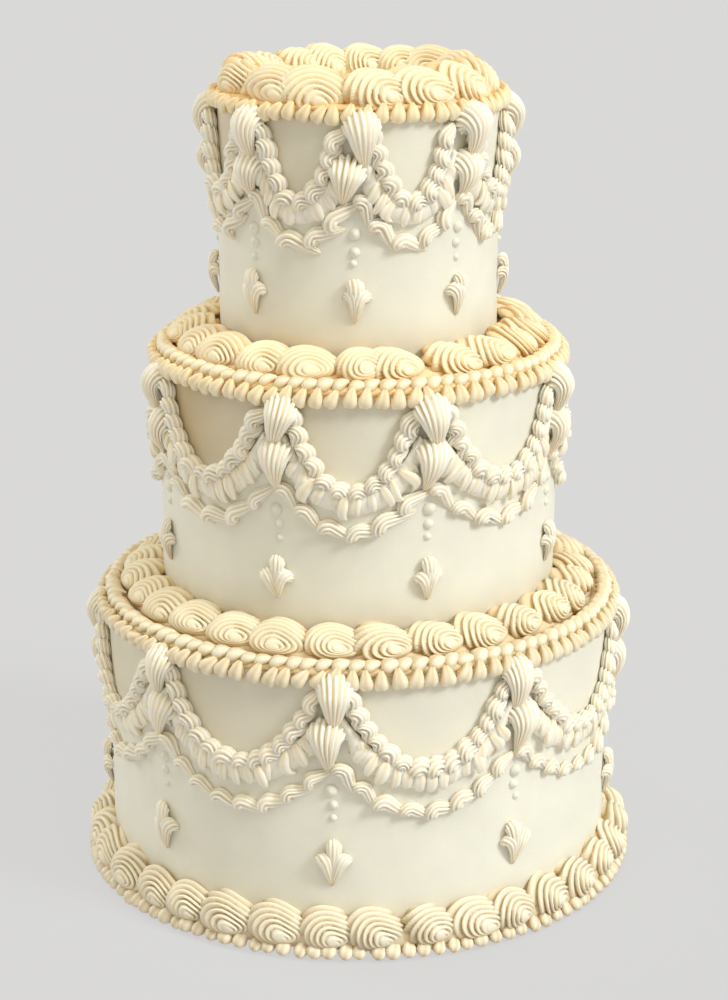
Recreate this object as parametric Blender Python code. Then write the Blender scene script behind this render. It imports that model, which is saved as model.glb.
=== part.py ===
"""A three-tier piped celebration cake, uncut, as solids in metres with +Z up.

The cake stands on the plane z = 0 with its axis on the Z axis, and its front faces -Y.
An angle round the cake is measured from the front towards +X. Every icing line lies on
its tier with a small gap, so that no two solids touch.
"""

import math
import random

import bmesh
import bpy

GAP = 0.0003
TIER_FACETS = 48

# Each tier: wall radius, level of its top, and where its plumes stand round the wall.
# Front plumes are at the angles that the cake shows; the others share the rest evenly.
TIERS = {
    "bottom": dict(radius=0.131, foot=0.0, top=0.1455, front=(-86.0, -47.0, -5.5, 35.5, 80.0),
                   plumes=9, proud=0.0142, beads=106, crest=0.0046, plume_top=0.0022, tail=0.050,
                   rope=0.0435, frill=0.0625, lower_rope=0.0725, dots=0.0607, motif=0.0980,
                   motif_height=0.0270),
    "middle": dict(radius=0.1015, foot=0.1455, top=0.2745, front=(-68.5, -22.5, 19.0, 67.5),
                   plumes=8, proud=0.0158, beads=85, crest=0.0046, plume_top=0.0006, tail=0.049,
                   rope=0.0430, frill=0.0620, lower_rope=0.0690, dots=0.0594, motif=0.0935,
                   motif_height=0.0230),
    "top": dict(radius=0.070, foot=0.2745, top=0.4025, front=(-88.5, -45.0, -1.5, 42.0, 86.0),
                plumes=8, proud=0.0148, beads=62, crest=0.0028, plume_top=0.0006, tail=0.0455,
                rope=0.0395, frill=0.0575, lower_rope=0.0645, dots=0.0600, motif=0.0910,
                motif_height=0.0235),
}

# The softened shoulder of a tier, which the rim beads cover.
SHOULDER_WIDTH = 0.006
SHOULDER_DROP = 0.008

PLUME_HALF_WIDTH = 0.0085

# Shell borders: where they lean, how many shells, the angle where one shell's head starts.
BORDER_STATIONS = (0.04, 0.22, 0.50, 0.80)
BORDER_SWELL = (0.74, 0.98, 1.00, 0.86)
# Section of a border: share of its reach, share of its height, and ridge or groove.
GROUND_ARCH = ((0.20, 1.00, 1.0), (0.66, 0.90, 0.93), (0.90, 0.66, 1.0), (1.00, 0.37, 0.93))
LEDGE_ARCH = ((0.18, 1.00, 1.0), (0.58, 0.90, 0.93), (0.81, 0.66, 1.0), (1.00, 0.30, 0.93))
BORDERS = {
    "border_base": dict(wall=0.131, level=0.0, shells=35, phase=-1.7, reach=0.0138, height=0.0245,
                        arch=GROUND_ARCH),
    "border_middle": dict(wall=0.1015, level=0.1455, shells=29, phase=-0.3, reach=0.0222, height=0.0156,
                          arch=LEDGE_ARCH),
    "border_top": dict(wall=0.070, level=0.2745, shells=22, phase=-8.9, reach=0.0236, height=0.0158,
                       arch=LEDGE_ARCH),
}
CROWN = dict(shells=14, phase=-6.0, inner=0.0405, outer=0.0632, middle=0.0528, height=0.0168)
# Section of the crown: distance out from its middle, share of its height, and ridge or groove.
CROWN_SECTION = ((-0.0108, 0.42, 1.0), (-0.0070, 0.86, 0.94), (-0.0010, 1.00, 1.0), (0.0078, 0.93, 0.95),
                 (0.0150, 0.56, 1.0), (0.0172, 0.27, 0.95))
CROWN_STATIONS = ((0.02, 0.78), (0.16, 0.97), (0.40, 1.00), (0.65, 0.94), (0.88, 0.82))
BASE_BEADS = dict(beads=116, inner=0.1396, outer=0.1466, height=0.0062)

# Dots under each plume: distance below the first one, and radius.
DOTS = ((0.0, 0.0030), (0.0072, 0.0024))
DOT_SIDES = 5

# Outline of a wall motif, as parts of its half height: tail, two side lobes and a top lobe.
MOTIF_HALF = ((0.24, -0.42), (0.76, -0.14), (0.34, 0.24), (0.36, 0.78))
MOTIF_OUTLINE = ((0.0, -1.0), *MOTIF_HALF, (0.0, 1.0), *((-x, y) for x, y in reversed(MOTIF_HALF)))
MOTIF_DEPTH = 0.0045
MOTIF_SEED = 17

ICING = dict(color=(0.84, 0.80, 0.66, 1.0), roughness=0.55)
PIPING = dict(color=(0.88, 0.82, 0.66, 1.0), roughness=0.5)
WARM_PIPING = dict(color=(0.90, 0.76, 0.50, 1.0), roughness=0.5)


def clear_scene():
    """Removes whatever objects the scene starts with."""
    for item in list(bpy.data.objects):
        bpy.data.objects.remove(item, do_unlink=True)


def make_material(name, color, roughness):
    """Returns a plain Principled material."""
    material = bpy.data.materials.new(name)
    material.use_nodes = True
    shader = material.node_tree.nodes["Principled BSDF"]
    shader.inputs["Base Color"].default_value = color
    shader.inputs["Roughness"].default_value = roughness
    shader.inputs["Metallic"].default_value = 0.0
    return material


def make_object(name, vertices, faces, material, collection=None):
    """Makes one closed object with its faces pointing out."""
    mesh = bpy.data.meshes.new(name)
    mesh.from_pydata([tuple(map(float, point)) for point in vertices], [], faces)
    shape = bmesh.new()
    shape.from_mesh(mesh)
    bmesh.ops.recalc_face_normals(shape, faces=shape.faces)
    bmesh.ops.triangulate(shape, faces=shape.faces)
    shape.to_mesh(mesh)
    shape.free()
    mesh.shade_smooth()
    mesh.set_sharp_from_angle(angle=math.radians(40))
    mesh.materials.append(material)
    item = bpy.data.objects.new(name, mesh)
    (collection or bpy.context.scene.collection).objects.link(item)
    return item


def place(angle, radius, height):
    """Returns the point at an angle in degrees from the front, a radius and a height."""
    turn = math.radians(angle)
    return (radius * math.sin(turn), -radius * math.cos(turn), height)


def outside(radius, points):
    """Returns the corner radius of an even ring whose flat sides just clear a circle of that radius."""
    return (radius + GAP) / math.cos(math.pi / points)


def outside_step(radius, angles):
    """Returns the same for corners at uneven angles, from the widest step between two of them."""
    steps = [after - before for before, after in zip(angles, angles[1:] + [angles[0] + 360.0])]
    return (radius + GAP) / math.cos(math.radians(max(steps) / 2))


def ring_solid(name, loops, material):
    """Joins closed loops round the axis into one ring, each to the next and the last to the first.

    A loop is a list of (angle, radius, height) in rising angle. Neighbouring loops may have
    different numbers of points: the strip between them steps along whichever loop is behind.
    """
    vertices, starts = [], []
    for loop in loops:
        starts.append(len(vertices))
        vertices.extend(place(*point) for point in loop)
    faces = []
    for k, first in enumerate(loops):
        other = (k + 1) % len(loops)
        second = loops[other]
        a, b = 0, 0
        while a < len(first) or b < len(second):
            a_next = first[(a + 1) % len(first)][0] + 360.0 * ((a + 1) // len(first))
            b_next = second[(b + 1) % len(second)][0] + 360.0 * ((b + 1) // len(second))
            here = starts[k] + a % len(first)
            there = starts[other] + b % len(second)
            if b >= len(second) or (a < len(first) and a_next <= b_next):
                faces.append((here, starts[k] + (a + 1) % len(first), there))
                a += 1
            else:
                faces.append((here, starts[other] + (b + 1) % len(second), there))
                b += 1
    return make_object(name, vertices, faces, material)


def plume_angles(tier):
    """Returns all plume angles of a tier in rising order: the front ones, then an even rest."""
    front = list(tier["front"])
    rest = tier["plumes"] - len(front)
    step = (front[0] + 360.0 - front[-1]) / (rest + 1)
    return front + [front[-1] + step * (k + 1) for k in range(rest)]


def tier_solid(name, tier, material):
    """A drum of cake with a softened shoulder, and the dots under its plumes fused to its wall."""
    radius = tier["radius"]
    foot = tier["foot"] + (GAP if tier["foot"] > 0 else 0.0)
    levels = ((radius, foot), (radius, tier["top"] - SHOULDER_DROP), (radius - SHOULDER_WIDTH, tier["top"]))
    vertices = [place(360.0 * k / TIER_FACETS, r, z) for r, z in levels for k in range(TIER_FACETS)]
    faces = [tuple(range(TIER_FACETS)), tuple(range(2 * TIER_FACETS, 3 * TIER_FACETS))]
    for row in range(2):
        for k in range(TIER_FACETS):
            low, high = row * TIER_FACETS, (row + 1) * TIER_FACETS
            after = (k + 1) % TIER_FACETS
            faces.append((low + k, low + after, high + after, high + k))
    drum = make_object(name, vertices, faces, material)

    dots = bpy.data.collections.new(name + "_dots")
    for angle in plume_angles(tier):
        for drop, size in DOTS:
            add_dot(angle, radius, tier["top"] - tier["dots"] - drop, size, material, dots)
    join = drum.modifiers.new("dots", "BOOLEAN")
    join.operation = "UNION"
    join.operand_type = "COLLECTION"
    join.collection = dots
    with bpy.context.temp_override(object=drum, active_object=drum):
        bpy.ops.object.modifier_apply(modifier=join.name)
    for item in list(dots.objects):
        bpy.data.objects.remove(item, do_unlink=True)
    bpy.data.collections.remove(dots)
    return drum


def add_dot(angle, radius, height, size, material, collection):
    """A low faceted button whose root is sunk in the wall."""
    vertices = []
    across = math.degrees(size / radius)
    for scale, lift in ((1.25, -0.0015), (0.55, 0.75 * size)):
        for k in range(DOT_SIDES):
            turn = 2 * math.pi * k / DOT_SIDES
            vertices.append(place(angle + across * scale * math.cos(turn), radius + lift,
                                  height + size * scale * math.sin(turn)))
    n = DOT_SIDES
    faces = [tuple(range(n)), tuple(range(n, 2 * n))]
    faces.extend((k, (k + 1) % n, n + (k + 1) % n, n + k) for k in range(n))
    make_object("dot", vertices, faces, material, collection)


def rim_solid(name, tier, material):
    """The two bead rows that cover a tier's shoulder, as one toothed ring."""
    radius, top, beads = tier["radius"], tier["top"], tier["beads"]
    pitch = 360.0 / beads
    coarse = beads // 3
    lower_back = [(360.0 * k / coarse, outside(radius, coarse), top - 0.0072) for k in range(coarse)]
    upper_back = [(360.0 * k / coarse, outside(radius - SHOULDER_WIDTH, coarse), top + GAP)
                  for k in range(coarse)]
    teeth = []
    for k in range(beads):
        teeth.append((pitch * k, radius + 0.0046, top - 0.0030))
        teeth.append((pitch * (k + 0.5), radius + 0.0022, top - 0.0022))
    crests = [(pitch * (k + 0.25), radius - 0.0008, top + tier["crest"]) for k in range(beads)]
    return ring_solid(name, [lower_back, teeth, crests, upper_back], material)


def base_bead_solid(material):
    """The row of beads on the ground in front of the base border."""
    beads = BASE_BEADS["beads"]
    pitch = 360.0 / beads
    coarse = beads // 4
    back = [(4 * pitch * k, BASE_BEADS["inner"], 0.0) for k in range(coarse)]
    tips = []
    for k in range(beads):
        tips.append((pitch * k, BASE_BEADS["outer"], 0.0))
        tips.append((pitch * (k + 0.5), BASE_BEADS["outer"] - 0.0028, 0.0))
    crest = [(2 * pitch * k, BASE_BEADS["inner"] + 0.0040, BASE_BEADS["height"]) for k in range(2 * coarse)]
    return ring_solid("border_base_beads", [back, tips, crest], material)


def border_solid(name, border, material):
    """A border of overlapping shells that lean on a wall, heads to the left and ridged lengthwise.

    The section is an arch from the wall to the ground. It swells at each shell's head and
    sinks towards its tail, and its points lie by turns on a ridge and in a groove.
    """
    wall, level, shells = border["wall"], border["level"], border["shells"]
    floor = level + (GAP if level > 0 else 0.0)
    reach, height = border["reach"], border["height"]
    pitch = 360.0 / shells
    inner = outside(wall, shells)
    starts = [border["phase"] + pitch * k for k in range(shells)]
    foot = [(start, inner, floor) for start in starts]
    back = [(start, inner, floor + 0.62 * height) for start in starts]
    loops = [foot, back]
    for across, up, ridge in border["arch"]:
        loops.append([(start + pitch * station, wall + GAP + reach * across * swell * ridge,
                       floor + height * up * (0.5 + 0.5 * swell))
                      for start in starts for station, swell in zip(BORDER_STATIONS, BORDER_SWELL)])
    loops.append([(start, wall + 0.55 * reach, floor) for start in starts])
    return ring_solid(name, loops, material)


def crown_solid(tier, material):
    """The crown of large shells on the top, a ring round a bare middle, leaning over the rim."""
    floor = tier["top"] + GAP
    pitch = 360.0 / CROWN["shells"]
    starts = [CROWN["phase"] + pitch * k for k in range(CROWN["shells"])]
    loops = [[(start, CROWN["inner"], floor) for start in starts]]
    for across, up, ridge in CROWN_SECTION:
        loops.append([(start + pitch * station, CROWN["middle"] + across * swell * ridge,
                       floor + CROWN["height"] * up * swell * ridge)
                      for start in starts for station, swell in CROWN_STATIONS])
    loops.append([(start, CROWN["outer"], floor) for start in starts])
    return ring_solid("crown", loops, material)


def garland_solid(name, tier, material):
    """Plumes and the ridged rope and frill that hang between them, as one ring round the wall.

    The section runs down the wall side, then back up over the outside. On a plume it bulges
    twice, once for each of its two shells; between plumes it is a rope over a thin frill.
    """
    radius, top, proud = tier["radius"], tier["top"], tier["proud"]
    plume_stations = ((-1.0, 0.35), (-0.52, 0.88), (0.0, 1.0), (0.52, 0.88), (1.0, 0.35))
    swag_stations = (0.16, 0.38, 0.62, 0.84)
    edge = math.degrees(PLUME_HALF_WIDTH / (radius + 0.008))
    angles = plume_angles(tier)
    stations = []
    for angle, after in zip(angles, angles[1:] + [angles[0] + 360.0]):
        for offset, bulge in plume_stations:
            tail = tier["tail"] - 0.016 * (1.0 - bulge)
            head = tier["plume_top"] - 0.003 * (1.0 - bulge)
            stations.append((angle + edge * offset,
                             (SHOULDER_DROP, (0.0056, -0.0027), (0.0066 + 0.35 * proud * bulge, head),
                              (0.0040 + (proud - 0.0040) * bulge, -0.0135),
                              (0.0040 + 0.0045 * bulge, -0.0245),
                              (0.0025 + (proud - 0.0035) * bulge, -0.0330), tail)))
        for part in swag_stations:
            sag = 1.0 - abs(2 * part - 1.0) ** 2.2
            rope = 0.0150 + (tier["rope"] - 0.0150) * sag
            hem = 0.0340 + (tier["frill"] - 0.0340) * sag
            stations.append((angle + edge + (after - angle - 2 * edge) * part,
                             (rope, (0.0035, 0.0006 - rope), (0.0068, -0.0030 - rope),
                              (0.0062, -0.0075 - rope), (0.0034, -0.0088 - rope),
                              (0.0046, 0.0020 - hem), hem)))
    wall = outside_step(radius, [here for here, _ in stations])
    loops = [[(here, wall, top - section[0]) for here, section in stations]]
    for k in range(1, 6):
        loops.append([(here, radius + section[k][0], top + section[k][1]) for here, section in stations])
    loops.append([(here, wall, top - section[6]) for here, section in stations])
    return ring_solid(name, loops, material)


def lower_swag_solid(name, tier, material):
    """The thinner rope that hangs from tail to tail below the frill."""
    radius, top = tier["radius"], tier["top"]
    angles = plume_angles(tier)
    start = tier["tail"] + 0.0031
    stations = []
    for angle, after in zip(angles, angles[1:] + [angles[0] + 360.0]):
        for part in (0.0, 0.18, 0.40, 0.60, 0.82):
            sag = 1.0 - abs(2 * part - 1.0) ** 2.0
            stations.append((angle + (after - angle) * part,
                             top - start - (tier["lower_rope"] - start) * sag,
                             0.0028 if part == 0.0 else 0.0037))
    wall = outside_step(radius, [here for here, _, _ in stations])
    loops = [[(here, wall, middle + half) for here, middle, half in stations],
             [(here, wall, middle - half) for here, middle, half in stations],
             [(here, radius + 0.0052, middle) for here, middle, half in stations]]
    return ring_solid(name, loops, material)


def motif_solid(name, tier, angle, rng, material):
    """A small three-lobed spray with a tail, curved to the wall and each a little different."""
    half = tier["motif_height"] / 2 * rng.uniform(0.94, 1.04)
    lean = math.radians(rng.uniform(-6.0, 6.0))
    centre = tier["top"] - tier["motif"]
    radius = tier["radius"] + GAP + 0.0003
    outline = []
    for across, up in MOTIF_OUTLINE:
        x, y = across * half * rng.uniform(0.92, 1.08), up * half
        outline.append((x * math.cos(lean) - y * math.sin(lean),
                        x * math.sin(lean) + y * math.cos(lean)))
    vertices = []
    for scale, lift in ((1.0, 0.0), (0.66, 0.8 * MOTIF_DEPTH)):
        for x, y in outline:
            vertices.append(place(angle + math.degrees(scale * x / radius), radius + lift,
                                  centre + scale * y))
    n = len(outline)
    vertices.append(place(angle, radius, centre))
    vertices.append(place(angle, radius + MOTIF_DEPTH, centre))
    faces = []
    for k in range(n):
        after = (k + 1) % n
        faces.append((k, after, n + after, n + k))
        faces.append((k, after, 2 * n))
        faces.append((n + k, n + after, 2 * n + 1))
    return make_object(name, vertices, faces, material)


def build():
    """Builds every piece of the cake."""
    clear_scene()
    icing = make_material("icing", **ICING)
    piping = make_material("piping", **PIPING)
    warm = make_material("warm_piping", **WARM_PIPING)
    rng = random.Random(MOTIF_SEED)
    for name, tier in TIERS.items():
        tier_solid("tier_" + name, tier, icing)
        rim_solid("rim_" + name, tier, warm)
        garland_solid("garland_" + name, tier, piping)
        lower_swag_solid("lower_swag_" + name, tier, piping)
        for k, angle in enumerate(plume_angles(tier)):
            motif_solid(f"motif_{name}_{k + 1}", tier, angle, rng, piping)
    for name, border in BORDERS.items():
        border_solid(name, border, piping if name == "border_base" else warm)
    base_bead_solid(piping)
    crown_solid(TIERS["top"], warm)
    for item in bpy.context.scene.collection.objects:
        print(item.name, len(item.data.polygons), "faces")
    print("total", sum(len(item.data.polygons) for item in bpy.context.scene.collection.objects))


build()
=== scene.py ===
"""The looks of a three-tier piped celebration cake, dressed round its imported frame.

Every icing line is worked out from a few shapes: a hooked strand, a swirled shell, a bulb, a
soft ring and a turned wall. Angles round the cake are in degrees from its front, towards +X.
"""

import logging
import math
from dataclasses import dataclass, field, replace
from enum import Enum

import bpy
import numpy as np
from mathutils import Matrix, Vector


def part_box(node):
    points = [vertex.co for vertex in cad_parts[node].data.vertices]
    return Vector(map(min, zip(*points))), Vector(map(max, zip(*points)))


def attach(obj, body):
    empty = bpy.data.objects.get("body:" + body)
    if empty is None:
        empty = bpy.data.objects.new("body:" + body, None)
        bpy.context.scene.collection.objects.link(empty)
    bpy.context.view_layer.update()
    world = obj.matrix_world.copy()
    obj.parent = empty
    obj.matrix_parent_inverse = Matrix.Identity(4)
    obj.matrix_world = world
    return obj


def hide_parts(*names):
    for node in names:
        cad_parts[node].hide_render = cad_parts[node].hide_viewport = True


log = logging.getLogger("cake")
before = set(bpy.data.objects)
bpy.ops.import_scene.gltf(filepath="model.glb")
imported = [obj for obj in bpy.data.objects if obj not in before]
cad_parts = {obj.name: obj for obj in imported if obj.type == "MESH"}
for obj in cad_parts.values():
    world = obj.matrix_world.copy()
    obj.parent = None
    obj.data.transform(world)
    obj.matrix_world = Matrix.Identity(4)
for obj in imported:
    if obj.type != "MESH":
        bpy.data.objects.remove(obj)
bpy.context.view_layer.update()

BODY = "root"
# Per-point value from 0 to 1 that paints shade into grooves, gaps and undersides.
CREVICE_SHADE = "crevice"
ICING_GROUP = "icing_surface"

# A linear colour, and what feeds a shader node's inputs by their names or numbers.
Color = tuple[float, float, float]
Feeds = dict[str | int, object]
# One value for all shapes or one for each, and points with their crevice values.
Values = np.ndarray | float
Surfaces = tuple[np.ndarray, np.ndarray]


class Slot(Enum):
    """The record's material slots."""

    ICING = "icing"
    PIPING = "piping"
    WARM = "warm_piping"


@dataclass(frozen=True)
class Finish:
    """One buttercream finish: its colour on the ridges, the painted-shade colour for its grooves and gaps,
    and its gloss.

    Args:
        name: The material's name.
        crest: Colour of the open surface, linear.
        groove: Painted-shade colour deep between ridges and in gaps, linear.
        amount: How much of the painted-shade colour the deepest crevice shows.
        roughness: Mean roughness.
        grain: Height of the fine grain, in metres.
        glow: Weight of the light that scatters under the surface.
    """

    name: str
    crest: Color
    groove: Color
    amount: float
    roughness: float = 0.42
    grain: float = 0.0002
    glow: float = 0.15

    def material(self) -> bpy.types.Material:
        """Builds the material.

        Returns:
            A Principled material whose colour, roughness and bump come from the icing group.
        """
        material = bpy.data.materials.new(self.name)
        material.use_nodes = True
        tree = material.node_tree
        icing = add_node(tree, "Group", {
            "Crest": (*self.crest, 1.0), "Groove": (*self.groove, 1.0), "Amount": self.amount,
            "Roughness": self.roughness}, node_tree=icing_group()).outputs
        bump = add_node(tree, "Bump", {"Strength": 0.5, "Distance": self.grain, "Height": icing["Height"]})
        feed(tree.nodes["Principled BSDF"], {
            "Base Color": icing["Color"], "Roughness": icing["Roughness"], "Normal": bump.outputs["Normal"],
            "Metallic": 0.0, "IOR": 1.45, "Specular IOR Level": 0.35, "Subsurface Weight": self.glow,
            "Subsurface Radius": (1.0, 0.62, 0.28), "Subsurface Scale": 0.003})
        return material


def feed(node: bpy.types.Node, values: Feeds) -> bpy.types.Node:
    """Feeds a shader node's inputs.

    Args:
        node: The node.
        values: For each input, by name or number, its value or the output that it is linked to.

    Returns:
        The node.
    """
    for name, value in values.items():
        if isinstance(value, bpy.types.NodeSocket):
            node.id_data.links.new(value, node.inputs[name])
        else:
            node.inputs[name].default_value = value
    return node


def add_node(tree: bpy.types.NodeTree, kind: str, values: Feeds, **settings: object) -> bpy.types.Node:
    """Adds a shader node.

    Args:
        tree: The tree that it goes into.
        kind: Its type, after the words that all types start with.
        values: What feeds its inputs.
        **settings: Its own settings, which are set first.

    Returns:
        The node.
    """
    node = tree.nodes.new("ShaderNode" + kind)
    for name, value in settings.items():
        setattr(node, name, value)
    return feed(node, values)


def icing_group() -> bpy.types.NodeTree:
    """Makes the node group that colours all icing, once.

    The colour goes from crest to groove with the crevice attribute, which paints shade into
    grooves, gaps and undersides, with soft cloudy variation on top. The height is a fine grain over a slow
    smear.

    Returns:
        The group, with outputs Color, Roughness and Height.
    """
    if ICING_GROUP in bpy.data.node_groups:
        return bpy.data.node_groups[ICING_GROUP]
    group = bpy.data.node_groups.new(ICING_GROUP, "ShaderNodeTree")
    sides = {"INPUT": {"Crest": "Color", "Groove": "Color", "Amount": "Float", "Roughness": "Float"},
             "OUTPUT": {"Color": "Color", "Roughness": "Float", "Height": "Float"}}
    for way, sockets in sides.items():
        for label, kind in sockets.items():
            group.interface.new_socket(label, in_out=way, socket_type="NodeSocket" + kind)
    given = group.nodes.new("NodeGroupInput").outputs
    place = add_node(group, "TexCoord", {}).outputs["Object"]
    cloud, grain, smear = (
        add_node(group, "TexNoise", {"Vector": place, "Scale": scale, "Detail": detail}).outputs["Fac"]
        for scale, detail in ((38.0, 3.0), (900.0, 2.0), (60.0, 2.0)))

    # Painted shade: the crevice value mixes the crest colour towards the groove colour.
    depth = add_node(group, "Attribute", {}, attribute_name=CREVICE_SHADE).outputs["Fac"]
    share = add_node(group, "Math", {0: depth, 1: given["Amount"]}, operation="MULTIPLY").outputs[0]
    tint = add_node(group, "Mix", {"Factor": share, 6: given["Crest"], 7: given["Groove"]}, data_type="RGBA")
    veil = add_node(group, "MapRange", {
        "Value": cloud, "From Min": 0.3, "From Max": 0.7, "To Min": 0.96, "To Max": 1.03})
    shaded = add_node(group, "Mix", {"Factor": 1.0, 6: tint.outputs[2], 7: veil.outputs["Result"]},
                      data_type="RGBA", blend_type="MULTIPLY")
    rough = add_node(group, "Math", {0: cloud, 1: 0.12, 2: given["Roughness"]}, operation="MULTIPLY_ADD")
    height = add_node(group, "Math", {0: grain, 1: 0.35, 2: smear}, operation="MULTIPLY_ADD")
    feed(group.nodes.new("NodeGroupOutput"), {
        "Color": shaded.outputs[2], "Roughness": rough.outputs[0], "Height": height.outputs[0]})
    return group


# Crest colours are each icing's own colour; groove colours are painted shade for crevices, gaps and
# undersides.
WALL = Finish("wall_icing", (0.85, 0.84, 0.745), (0.50, 0.36, 0.16), 0.8, 0.50, 0.0004, 0.10)
IVORY = Finish("ivory_piping", (0.99, 0.98, 0.90), (0.84, 0.57, 0.20), 0.85)
CREAM = Finish("cream_piping", (0.98, 0.90, 0.68), (0.82, 0.46, 0.11), 0.88)
BUTTER = Finish("butter_piping", (0.94, 0.87, 0.69), (0.62, 0.39, 0.12), 0.95)
BASE_IVORY = Finish("base_piping", (0.94, 0.89, 0.74), (0.52, 0.34, 0.12), 0.95)


def add_object(name: str, data: bpy.types.ID) -> bpy.types.Object:
    """Makes an object.

    Args:
        name: Its name.
        data: Its mesh, camera or light.

    Returns:
        The object, linked to the scene.
    """
    item = bpy.data.objects.new(name, data)
    bpy.context.scene.collection.objects.link(item)
    return item


@dataclass
class Piece:
    """Gathers closed surfaces into one mesh object.

    Args:
        name: The object's name.
        finish: Its finish.
        slot: The record's slot; not used.
        nodes: CAD nodes that it replaces.
    """

    name: str
    finish: Finish
    slot: Slot
    nodes: tuple[str, ...]
    points: list[np.ndarray] = field(default_factory=list)
    creases: list[np.ndarray] = field(default_factory=list)
    quads: list[np.ndarray] = field(default_factory=list)
    fans: list[np.ndarray] = field(default_factory=list)
    count: int = 0

    def add_tubes(self, grid: np.ndarray, crease: np.ndarray) -> None:
        """Adds closed tubes: each is a grid that is periodic across and ends in a pole at both ends.

        Args:
            grid: Points, shaped (tubes, along, around, 3).
            crease: Crevice value from 0 to 1 of each point.
        """
        tubes, along, around, _ = grid.shape
        poles = np.stack([grid[:, 0].mean(1), grid[:, -1].mean(1)], 1)
        pole_crease = np.stack([crease[:, 0].mean(1), crease[:, -1].mean(1)], 1)
        size = along * around + 2
        block = np.concatenate([grid.reshape(tubes, -1, 3), poles], 1)
        row, col = np.meshgrid(np.arange(along - 1), np.arange(around), indexing="ij")
        here = row * around + col
        side = row * around + (col + 1) % around
        quads = np.stack([here, side, side + around, here + around], -1).reshape(-1, 4)
        ring = np.arange(around)
        after = (ring + 1) % around
        last = (along - 1) * around
        fans = np.concatenate([np.stack([np.full(around, size - 2), after, ring], 1),
                               np.stack([np.full(around, size - 1), last + ring, last + after], 1)])
        corner = block[:, quads]
        cross = np.cross(corner[:, :, 2] - corner[:, :, 0], corner[:, :, 3] - corner[:, :, 1])
        centre = block.mean(1, keepdims=True)
        volume = np.einsum("tqi,tqi->t", corner.mean(2) - centre, cross)
        shift = self.count + size * np.arange(tubes)[:, None, None]
        for faces, store in ((quads, self.quads), (fans, self.fans)):
            many = faces[None] + shift
            many[volume < 0] = many[volume < 0][:, :, ::-1]
            store.append(many.reshape(-1, faces.shape[1]))
        self.points.append(block.reshape(-1, 3))
        self.creases.append(np.concatenate([crease.reshape(tubes, -1), pole_crease], 1).ravel())
        self.count += tubes * size

    def build(self) -> bpy.types.Object:
        """Makes the object, dresses it and rides it on the cake's body.

        Returns:
            The finished object.
        """
        points = np.concatenate(self.points).astype(np.float32)
        quads, fans = np.concatenate(self.quads), np.concatenate(self.fans)
        mesh = bpy.data.meshes.new(self.name)
        mesh.vertices.add(len(points))
        mesh.vertices.foreach_set("co", points.ravel())
        mesh.loops.add(quads.size + fans.size)
        mesh.loops.foreach_set("vertex_index", np.concatenate([quads.ravel(), fans.ravel()]).astype(np.int32))
        mesh.polygons.add(len(quads) + len(fans))
        starts = np.concatenate([4 * np.arange(len(quads)), quads.size + 3 * np.arange(len(fans))])
        mesh.polygons.foreach_set("loop_start", starts.astype(np.int32))
        mesh.update(calc_edges=True)
        mesh.validate()
        crease = mesh.attributes.new(CREVICE_SHADE, "FLOAT", "POINT")
        crease.data.foreach_set("value", np.concatenate(self.creases).clip(0, 1).astype(np.float32))
        mesh.shade_smooth()
        mesh.materials.append(self.finish.material())
        item = add_object(self.name, mesh)
        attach(item, BODY)
        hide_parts(*self.nodes)
        log.info("%s: %d triangles", self.name, 2 * len(quads) + len(fans))
        return item


@dataclass(frozen=True)
class Frames:
    """Local axes of many small shapes: origins and unit vectors right, up and out, each (shapes, 3)."""

    origin: np.ndarray
    right: np.ndarray
    up: np.ndarray
    out: np.ndarray

    def __len__(self) -> int:
        """Returns how many shapes there are."""
        return len(self.origin)

    def point(self, x: np.ndarray, y: np.ndarray, z: np.ndarray) -> np.ndarray:
        """Returns origin + x * right + y * up + z * out for grids shaped (shapes, along, around)."""
        spread = (slice(None), None, None, slice(None))
        return (self.origin[spread] + x[..., None] * self.right[spread]
                + y[..., None] * self.up[spread] + z[..., None] * self.out[spread])


def ring_frames(angle: np.ndarray, radius: Values, height: Values,
                tilt: Values = 0.0, twist: Values = 0.0) -> Frames:
    """Places frames round the axis.

    Args:
        angle: Degrees from the front.
        radius: Distance from the axis.
        height: Height above the ground.
        tilt: Degrees that the outward axis is raised above the horizon.
        twist: Degrees that right and up turn about the outward axis, towards each other.

    Returns:
        Frames whose right axis runs towards rising angles before the twist.
    """
    turn, lean, spin = (np.radians(np.broadcast_to(v, np.shape(angle)).astype(float))
                        for v in (angle, tilt, twist))
    radius, height = (np.broadcast_to(v, np.shape(angle)).astype(float) for v in (radius, height))
    away = np.stack([np.sin(turn), -np.cos(turn), 0 * turn], -1)
    along = np.stack([np.cos(turn), np.sin(turn), 0 * turn], -1)
    top = np.array([0.0, 0.0, 1.0])
    out = np.cos(lean)[:, None] * away + np.sin(lean)[:, None] * top
    rise = -np.sin(lean)[:, None] * away + np.cos(lean)[:, None] * top
    c, s = np.cos(spin)[:, None], np.sin(spin)[:, None]
    origin = away * radius[:, None] + height[:, None] * top
    return Frames(origin, c * along + s * rise, c * rise - s * along, out)


def column(value: Values, shapes: int) -> np.ndarray:
    """Returns a value or one value for each shape as an array shaped (shapes, 1, 1)."""
    return np.broadcast_to(np.asarray(value, float), (shapes,))[:, None, None]


def circle(points: int) -> np.ndarray:
    """Returns the angles of even points round a circle, in radians."""
    return np.linspace(0.0, 2 * np.pi, points, endpoint=False)


def turned(radius: np.ndarray, turn: np.ndarray, height: np.ndarray) -> np.ndarray:
    """Returns points by radius, angle from the front in radians and height."""
    return np.stack(np.broadcast_arrays(radius * np.sin(turn), -radius * np.cos(turn), height), -1)


def hump(phase: np.ndarray) -> np.ndarray:
    """Returns the profile of ridges with sharp grooves: the sine's size to the power 0.75."""
    return np.abs(np.sin(phase)) ** 0.75


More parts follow.
